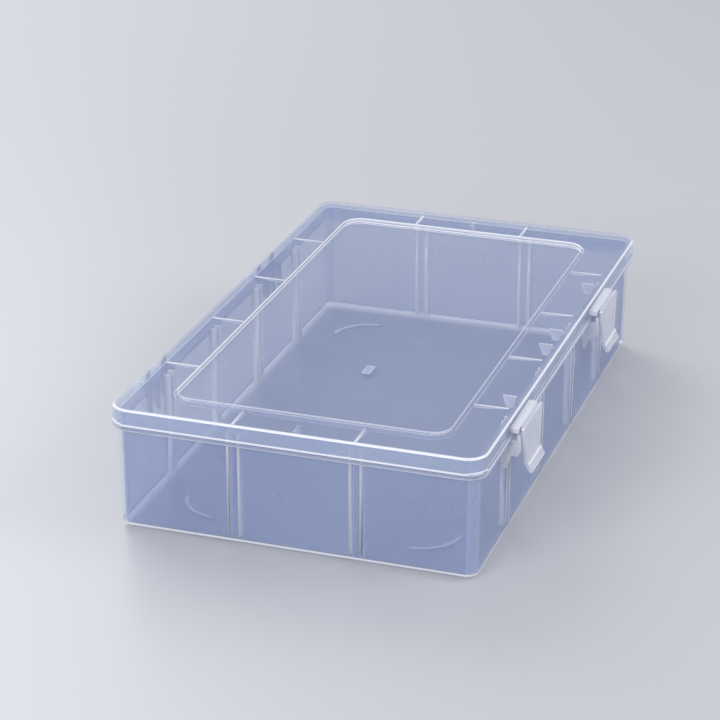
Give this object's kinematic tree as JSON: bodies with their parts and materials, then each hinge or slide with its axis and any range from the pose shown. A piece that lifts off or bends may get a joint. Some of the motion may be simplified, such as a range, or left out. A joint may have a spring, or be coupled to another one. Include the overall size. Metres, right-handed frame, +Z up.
{
  "type": "craft storage organizer",
  "caption": "Shallow clear plastic craft storage box with divider slots along its walls, a hinged lid with a sunken panel and swinging side latches.",
  "frame": {"origin": "centre of the bounding box in plan, at the underside of the feet", "axes": "+Z up, +Y along the long side of the box, +X out through the side that carries the latches; the hinges are on the -X side"},
  "size_m": [0.1802, 0.276, 0.057],
  "materials": {
    "tray_plastic": "clear, faintly blue and milky moulded polypropylene",
    "lid_plastic": "clear, faintly blue moulded polypropylene with polished faces",
    "latch_plastic": "the same clear polypropylene, whiter where it is thick"
  },
  "bodies": {
    "tray": {"tray": "tray_plastic"},
    "lid": {"lid": "lid_plastic"},
    "latch_near": {"latch_near": "latch_plastic"},
    "latch_far": {"latch_far": "latch_plastic"}
  },
  "joints": [
    {"name": "lid_hinge", "type": "hinge", "parent": "tray", "child": "lid", "pos_m": [-0.08723, 0, 0.0475], "axis": [0, -1, 0], "range_deg": [0, 180]},
    {"name": "latch_near_hinge", "type": "hinge", "parent": "lid", "child": "latch_near", "pos_m": [0.08582, -0.082, 0.0544], "axis": [0, -1, 0], "range_deg": [0, 135]},
    {"name": "latch_far_hinge", "type": "hinge", "parent": "lid", "child": "latch_far", "pos_m": [0.08582, 0.0545, 0.0544], "axis": [0, -1, 0], "range_deg": [0, 135]}
  ]
}
